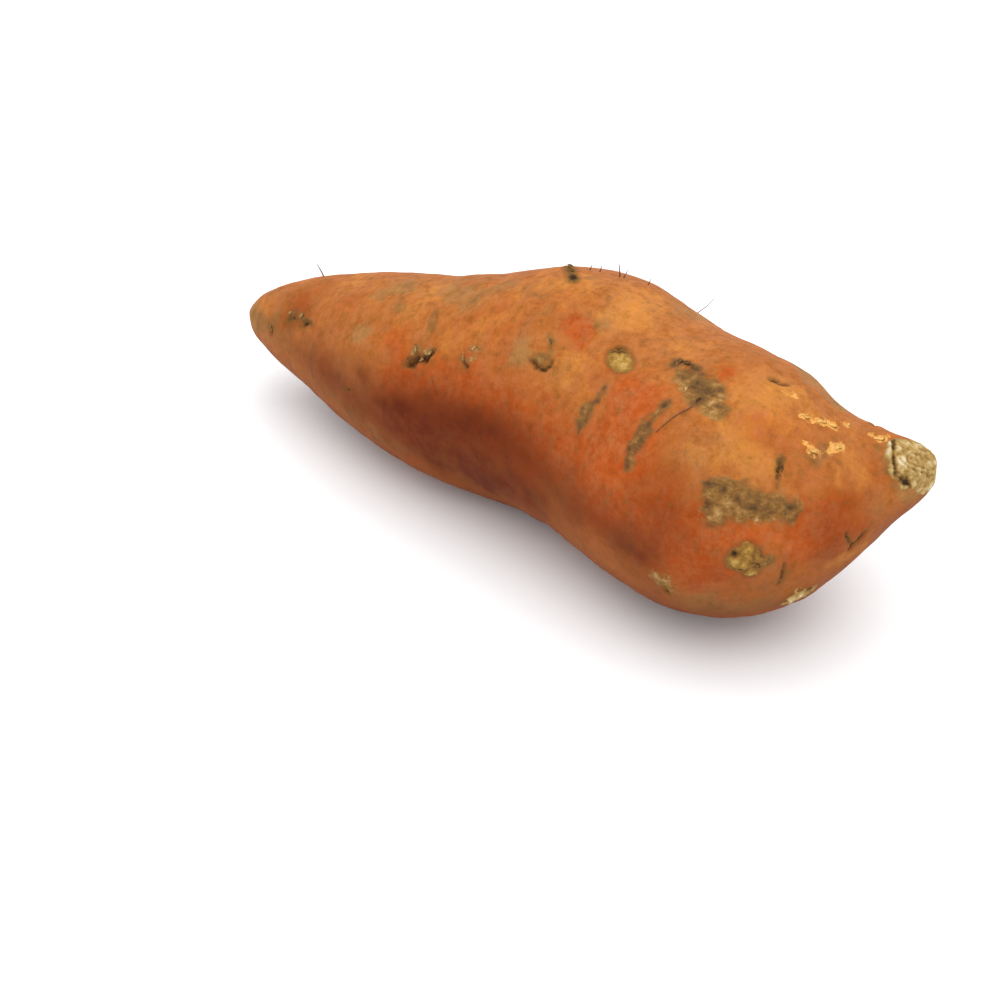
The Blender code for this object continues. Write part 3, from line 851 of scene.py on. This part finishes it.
def make_rootlets(skin, finder):
    """Fine rootlets and hairs that grow out of the skin."""
    tree = surface(skin.data)
    vertices, faces = [], []
    for number, (foot, tip, free, bow, thick) in enumerate(ROOTLETS):
        start = finder.seen(*foot)
        end = finder.beside(start, *tip) if free else finder.seen(*tip)
        path = []
        shares = np.linspace(0, 1, ROOTLET_POINTS)
        for share in shares:
            point = start + (end - start) * share
            near, out, _, _ = tree.find_nearest(Vector(point))
            out = np.array(out)
            side = np.cross(end - start, out)
            side /= max(np.linalg.norm(side), 1e-9)
            sway = bow * math.sin(math.pi * share * 1.5 + number)
            base = point if free else np.array(near) + out * ROOTLET_FLOAT
            sunk = ROOTLET_FOOT if share == 0 else 0
            path.append(base - sunk * out + side * sway * share)
        rods, rings = tube(path, thick / 2 * (1 - ROOTLET_TAPER * shares))
        faces += [tuple(index + len(vertices) for index in ring) for ring in rings]
        vertices += rods
    return new_object("rootlets", vertices, faces)


class Shading:
    """Short ways to add and join the nodes of one material."""

    def __init__(self, name, roughness, specular):
        self.material = bpy.data.materials.new(name)
        self.material.use_nodes = True
        self.tree = self.material.node_tree
        self.shader = self.tree.nodes["Principled BSDF"]
        self.put(self.shader.inputs["Roughness"], roughness)
        self.put(self.shader.inputs["Specular IOR Level"], specular)
        scaled = self.node("ShaderNodeVectorMath", operation="SCALE")
        scaled.inputs["Scale"].default_value = 1 / MM
        self.put(scaled.inputs[0], self.node("ShaderNodeTexCoord").outputs["Object"])
        self.place = scaled.outputs[0]

    def node(self, kind, **settings):
        """A new node with the given settings."""
        made = self.tree.nodes.new(kind)
        for key, value in settings.items():
            setattr(made, key, value)
        return made

    def put(self, socket, value):
        """Join a socket to an input, or set the input to a plain value."""
        if isinstance(value, bpy.types.NodeSocket):
            self.tree.links.new(value, socket)
        else:
            socket.default_value = value

    def pattern(self, kind, size, stretch):
        """A texture of a size in millimetres, stretched along the axes."""
        scaled = self.node("ShaderNodeVectorMath", operation="MULTIPLY")
        self.put(scaled.inputs[0], self.place)
        scaled.inputs[1].default_value = tuple(1 / (size * s) for s in stretch)
        made = self.node(kind)
        self.put(made.inputs["Vector"], scaled.outputs[0])
        made.inputs["Scale"].default_value = 1.0
        return made

    def noise(self, size, detail=3.0, rough=0.55, stretch=(1, 1, 1), distort=0.0):
        """Noise of a wave size in millimetres, 0 to 1."""
        made = self.pattern("ShaderNodeTexNoise", size, stretch)
        for key, value in (("Detail", detail), ("Roughness", rough), ("Distortion", distort)):
            made.inputs[key].default_value = value
        return made.outputs["Fac"]

    def cells(self, size, stretch):
        """Distance to the middle of the nearest of scattered cells, in cell sizes."""
        return self.pattern("ShaderNodeTexVoronoi", size, stretch).outputs["Distance"]

    def kept(self, name):
        """A number stored at each point of the mesh."""
        return self.node("ShaderNodeAttribute", attribute_name=name).outputs["Fac"]

    def sum(self, *terms):
        """Sum of (value, factor) terms and plain numbers."""
        total = 0.0
        for term in terms:
            parts = (*term, total) if isinstance(term, tuple) else (term, total)
            made = self.node("ShaderNodeMath", operation="MULTIPLY_ADD" if len(parts) == 3 else "ADD")
            for socket, part in zip(made.inputs, parts):
                self.put(socket, part)
            total = made.outputs[0]
        return total

    def step(self, low, high, *terms):
        """A smooth step, 0 to 1, as the sum of the terms goes from low to high."""
        made = self.node("ShaderNodeMapRange", interpolation_type="SMOOTHSTEP")
        for socket, number in zip(made.inputs[0:3], (self.sum(*terms), low, high)):
            self.put(socket, number)
        return made.outputs[0]

    def mix(self, share, first, second, blend="MIX"):
        """Two colours mixed by a share."""
        made = self.node("ShaderNodeMix", data_type="RGBA", blend_type=blend)
        for k, value in ((0, share), (6, colour(first)), (7, colour(second))):
            self.put(made.inputs[k], value)
        return made.outputs[2]

    def ramp(self, value, tones):
        """A colour that runs through several tones as a value goes from 0 to 1."""
        made = self.node("ShaderNodeValToRGB")
        self.put(made.inputs["Fac"], value)
        for k, (place, shade) in enumerate(tones):
            stop = made.color_ramp.elements[k] if k < 2 else made.color_ramp.elements.new(place)
            stop.position = place
            stop.color = (*shade, 1.0)
        return made.outputs["Color"]

    def cover(self, base, share, strength, shade):
        """A colour laid over another where a share says so, as strongly as given."""
        return self.mix(self.sum((share, strength)), base, shade)

    def paint(self, shade):
        """Give the shader its colour."""
        self.put(self.shader.inputs["Base Color"], colour(shade))

    def bump(self, height, depth):
        """Fine relief on the shader, its depth in millimetres."""
        made = self.node("ShaderNodeBump")
        made.inputs["Distance"].default_value = depth * MM
        self.put(made.inputs["Height"], height)
        self.put(self.shader.inputs["Normal"], made.outputs[0])


def colour(value):
    """A colour with its fourth channel, or a socket left as it is."""
    if isinstance(value, tuple) and len(value) == 3:
        return (*value, 1.0)
    return value


ORANGE = (0.42, 0.126, 0.023)
GOLD = (0.53, 0.195, 0.036)
RED = (0.44, 0.08, 0.01)
# The deep red that painted shade darkens the skin towards.
PAINTED_SHADE_DEEP_RED = (0.12, 0.019, 0.004)
TAN = (0.36, 0.165, 0.048)
DUST = (0.5, 0.205, 0.075)
OLIVE = (0.19, 0.098, 0.022)
BROWN = (0.05, 0.019, 0.006)
FLESH = (0.8, 0.43, 0.112)
RUSSET = (0.17, 0.058, 0.015)
ROOTLET_DARK = (0.12, 0.04, 0.016)
ROOTLET_LIGHT = (0.24, 0.1, 0.045)
FLOOR_WHITE = (0.97, 0.97, 0.97)
SKY_WHITE = (0.96, 0.98, 1.0)
SCURF_TONES = (
    (0.0, (0.045, 0.03, 0.013)),
    (0.25, (0.105, 0.062, 0.023)),
    (0.5, (0.185, 0.094, 0.025)),
    (0.75, (0.295, 0.16, 0.046)),
    (1.0, (0.46, 0.29, 0.115)),
)
CORK_TONES = (
    (0.0, (0.03, 0.014, 0.004)),
    (0.18, (0.105, 0.045, 0.01)),
    (0.36, (0.22, 0.105, 0.022)),
    (0.55, (0.33, 0.17, 0.031)),
    (0.75, (0.47, 0.28, 0.07)),
    (1.0, (0.68, 0.51, 0.25)),
)
BARK_TONES = (
    (0.0, (0.035, 0.016, 0.006)),
    (0.25, (0.09, 0.04, 0.014)),
    (0.5, (0.21, 0.105, 0.032)),
    (0.75, (0.43, 0.24, 0.085)),
    (1.0, (0.84, 0.45, 0.12)),
)
STEM_TONES = (
    (0.0, (0.03, 0.016, 0.006)),
    (0.2, (0.11, 0.055, 0.015)),
    (0.4, (0.25, 0.132, 0.034)),
    (0.6, (0.39, 0.24, 0.076)),
    (0.8, (0.52, 0.37, 0.16)),
    (1.0, (0.7, 0.58, 0.39)),
)


def skin_material():
    """Dry coppery skin: mottled orange, red, gold and tan, with scurf, rubs and dark slits, and painted
    shade on the flank and underside.
    """
    s = Shading("skin", roughness=0.6, specular=0.06)
    broad = s.noise(17.0, 3.0, 0.55, distort=0.4)
    patchy = s.noise(6.5, 5.0, 0.62, distort=0.7)
    middle = s.noise(3.0, 5.0, 0.62)
    smudges = s.noise(4.2, 5.0, 0.65, stretch=(0.7, 1.4, 1.4), distort=0.5)
    specks = s.noise(1.5, 4.0, 0.65)
    streaks = s.noise(0.9, 4.0, 0.6, stretch=(0.8, 4.0, 4.0))
    fine = s.noise(0.45, 3.0, 0.6)
    # The stored shade: painted shade, which also reddens the skin below.
    shade = s.kept("shade")

    golds = s.step(0.85, 1.45, (patchy, 1.2), (s.kept("gold"), 1.3), (middle, 0.25), (specks, 0.2))
    base = s.mix(golds, ORANGE, GOLD)
    reds = ((broad, 0.9), (s.kept("red"), 1.6), (shade, 0.35), (smudges, 0.6), (middle, 0.4), (specks, 0.2))
    base = s.mix(s.step(1.03, 1.72, *reds), base, RED)
    tans = s.step(1.06, 1.6, (patchy, -0.9), (s.kept("tan"), 1.5), (middle, 0.5), (specks, 0.25), 1.08)
    base = s.cover(base, tans, 0.9, TAN)
    olives = s.step(0.84, 1.14, smudges, (s.kept("olive"), 0.8), (specks, 0.5))
    base = s.cover(base, olives, 0.65, OLIVE)
    dusty = s.step(0.5, 0.85, (smudges, 0.9), (middle, 0.5), (specks, 0.2), (broad, -0.3))
    base = s.cover(base, dusty, 0.34, DUST)
    freckles = s.step(0.42, 0.26, s.cells(2.6, (1.0, 1.2, 1.2)), (fine, 0.25), (patchy, 0.9), -0.45)
    base = s.cover(base, freckles, 0.28, OLIVE)
    dashes = s.step(0.42, 0.3, s.cells(3.3, (0.6, 2.0, 2.0)), (fine, 0.25))
    base = s.cover(base, dashes, 0.13, DUST)
    # Painted shade: the skin darkens towards a deep red where the shade is stored.
    dark = s.sum((shade, 1.7), (middle, 0.4), (smudges, 0.35), (specks, 0.25), -0.49)
    base = s.mix(dark, base, PAINTED_SHADE_DEEP_RED)
    grain = s.sum((fine, 0.32), (streaks, 0.12), (specks, 0.48), (middle, 0.5), (patchy, 0.4), 0.02)
    base = s.mix(1.0, base, grain, "MULTIPLY")

    # Russet stain round the crusts, darker at their feet as painted shade.
    crust_stain_and_shade = s.step(0.15, 1.0, s.kept("near_crust"), (middle, 0.6), (specks, 0.5), -0.55)
    base = s.cover(base, crust_stain_and_shade, 0.5, RUSSET)
    lines = s.noise(0.9, 4.0, 0.6, stretch=(4.0, 0.9, 0.9))
    tone = s.sum(s.kept("scurf_tone"), (fine, 0.6), (specks, 0.8), (lines, 0.8), -1.11)
    scurf = s.step(0.28, 0.74, s.kept("scurf"), (specks, 0.8), (fine, 0.45), (middle, 0.25), -0.75)
    base = s.cover(base, scurf, 0.88, s.ramp(tone, SCURF_TONES))
    rub = s.step(0.39, 0.64, s.kept("rub"), (specks, 0.55), (fine, 0.35), -0.45)
    base = s.cover(base, rub, 0.9, s.mix(s.step(0.34, 0.62, (fine, 0.6), (specks, 0.4)), GOLD, FLESH))
    bruise = s.step(0.2, 0.52, s.kept("slit"), (specks, 0.45), -0.22)
    base = s.cover(base, bruise, 0.6, s.mix(s.step(0.42, 0.58, middle), OLIVE, RUSSET))
    slit = s.step(0.42, 0.72, s.kept("slit"), (fine, 0.3), (specks, 0.35), -0.33)
    s.paint(s.cover(base, slit, 0.94, BROWN))
    s.put(s.shader.inputs["Roughness"], s.sum(0.55, (fine, 0.16), (tans, 0.08), (slit, 0.1)))
    s.bump(s.sum((fine, 0.45), (streaks, 0.15), (specks, 0.7), (middle, 0.6)), 0.11)
    return s.material


def cork_material(name, tones):
    """Rough cork or bark, from dark olive brown in its cracks to pale on top."""
    s = Shading(name, roughness=0.85, specular=0.15)
    fine = s.noise(0.35, 4.0, 0.65)
    middle = s.noise(1.2, 3.0, 0.6)
    tone = s.sum(s.kept("tone"), (fine, 0.3), (middle, 0.26), -0.28)
    s.paint(s.ramp(tone, tones))
    s.bump(s.sum(fine, (middle, 0.6)), 0.16)
    return s.material


def rootlet_material():
    """Dry reddish brown rootlets."""
    s = Shading("rootlet", roughness=0.7, specular=0.3)
    s.paint(s.mix(s.noise(0.8, 2.0), ROOTLET_DARK, ROOTLET_LIGHT))
    return s.material


def make_floor(wide=4000.0):
    """A plain pale floor under the root."""
    square = ((-wide, -wide, 0), (wide, -wide, 0), (wide, wide, 0), (-wide, wide, 0))
    floor = new_object("floor", square, [(0, 1, 2, 3)])
    s = Shading("floor", roughness=0.9, specular=0.1)
    s.paint(FLOOR_WHITE)
    floor.data.materials.append(s.material)


def make_lights():
    """Plain soft studio light: a broad light from above, in even white surroundings."""
    world = bpy.data.worlds.new("studio")
    world.use_nodes = True
    sky = world.node_tree.nodes["Background"]
    sky.inputs["Color"].default_value = colour(SKY_WHITE)
    sky.inputs["Strength"].default_value = SKY_STRENGTH
    bpy.context.scene.world = world
    data = bpy.data.lights.new("key", "AREA")
    data.size = KEY_SIZE
    data.energy = KEY_WATTS
    key = linked("key", data)
    key.location = KEY_PLACE
    key.rotation_euler = (Vector(KEY_PLACE) - Vector(KEY_AIM)).to_track_quat("Z", "Y").to_euler()


skin, finder = make_skin(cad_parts[NODE], make_camera())
pieces = [skin] + [make_crust(name, spec, skin, finder) for name, spec in CRUSTS.items()]
pieces.append(make_stem_scar(skin, finder))
cork = cork_material("cork", CORK_TONES)
pale_cork = cork_material("pale_cork", STEM_TONES)
for crust in pieces[1:]:
    crust.data.materials.append(pale_cork if crust.name in ("stem_scar", "cork_edge") else cork)
flakes = make_flakes(skin, finder)
flakes.data.materials.append(cork_material("bark", BARK_TONES))
pieces.append(flakes)
skin.data.materials.clear()
skin.data.materials.append(skin_material())
rootlets = make_rootlets(skin, finder)
rootlets.data.materials.append(rootlet_material())
pieces.append(rootlets)

for piece in pieces:
    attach(piece, "root")
    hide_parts(NODE)

make_floor()
make_lights()
bpy.context.scene.view_settings.view_transform = "Standard"
